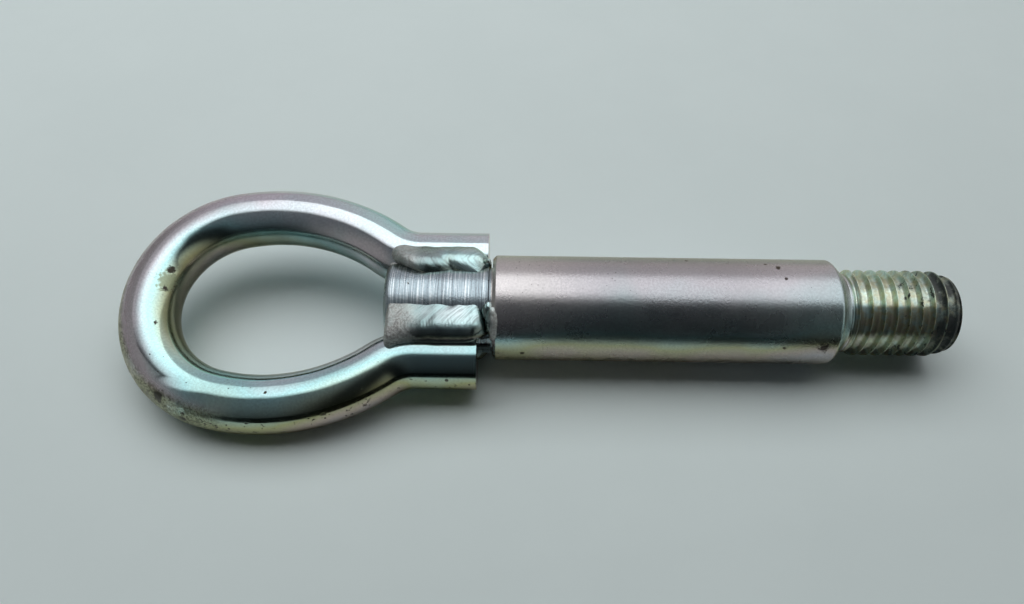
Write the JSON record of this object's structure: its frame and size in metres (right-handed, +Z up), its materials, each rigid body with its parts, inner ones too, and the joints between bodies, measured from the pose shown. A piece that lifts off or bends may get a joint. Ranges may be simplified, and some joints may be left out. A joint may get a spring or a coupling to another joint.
{
  "type": "tow eye",
  "caption": "Screw-in car tow eye: a round bar bent to an eye and welded into the grooves of a turned shank with a threaded end.",
  "frame": {"origin": "on the shank's axis where the thread starts, beside the shoulder", "axes": "+X along the axis and out of the threaded end, +Z up as the part lies on a floor, -Y towards the lower side of the eye"},
  "size_m": [0.1731, 0.0536, 0.022],
  "materials": {
    "plated_bar": "bright zinc plate with a pink, green and yellow passivate, pitted and worn at the bow",
    "plated_shank": "satin zinc plate over fine turning marks",
    "plated_weld": "zinc plate over rippled weld"
  },
  "bodies": {
    "root": {"eye_bar": "plated_bar", "shank": "plated_shank", "weld_top_near": "plated_weld", "weld_top_far": "plated_weld", "weld_under_near": "plated_weld", "weld_under_far": "plated_weld"}
  },
  "joints": []
}
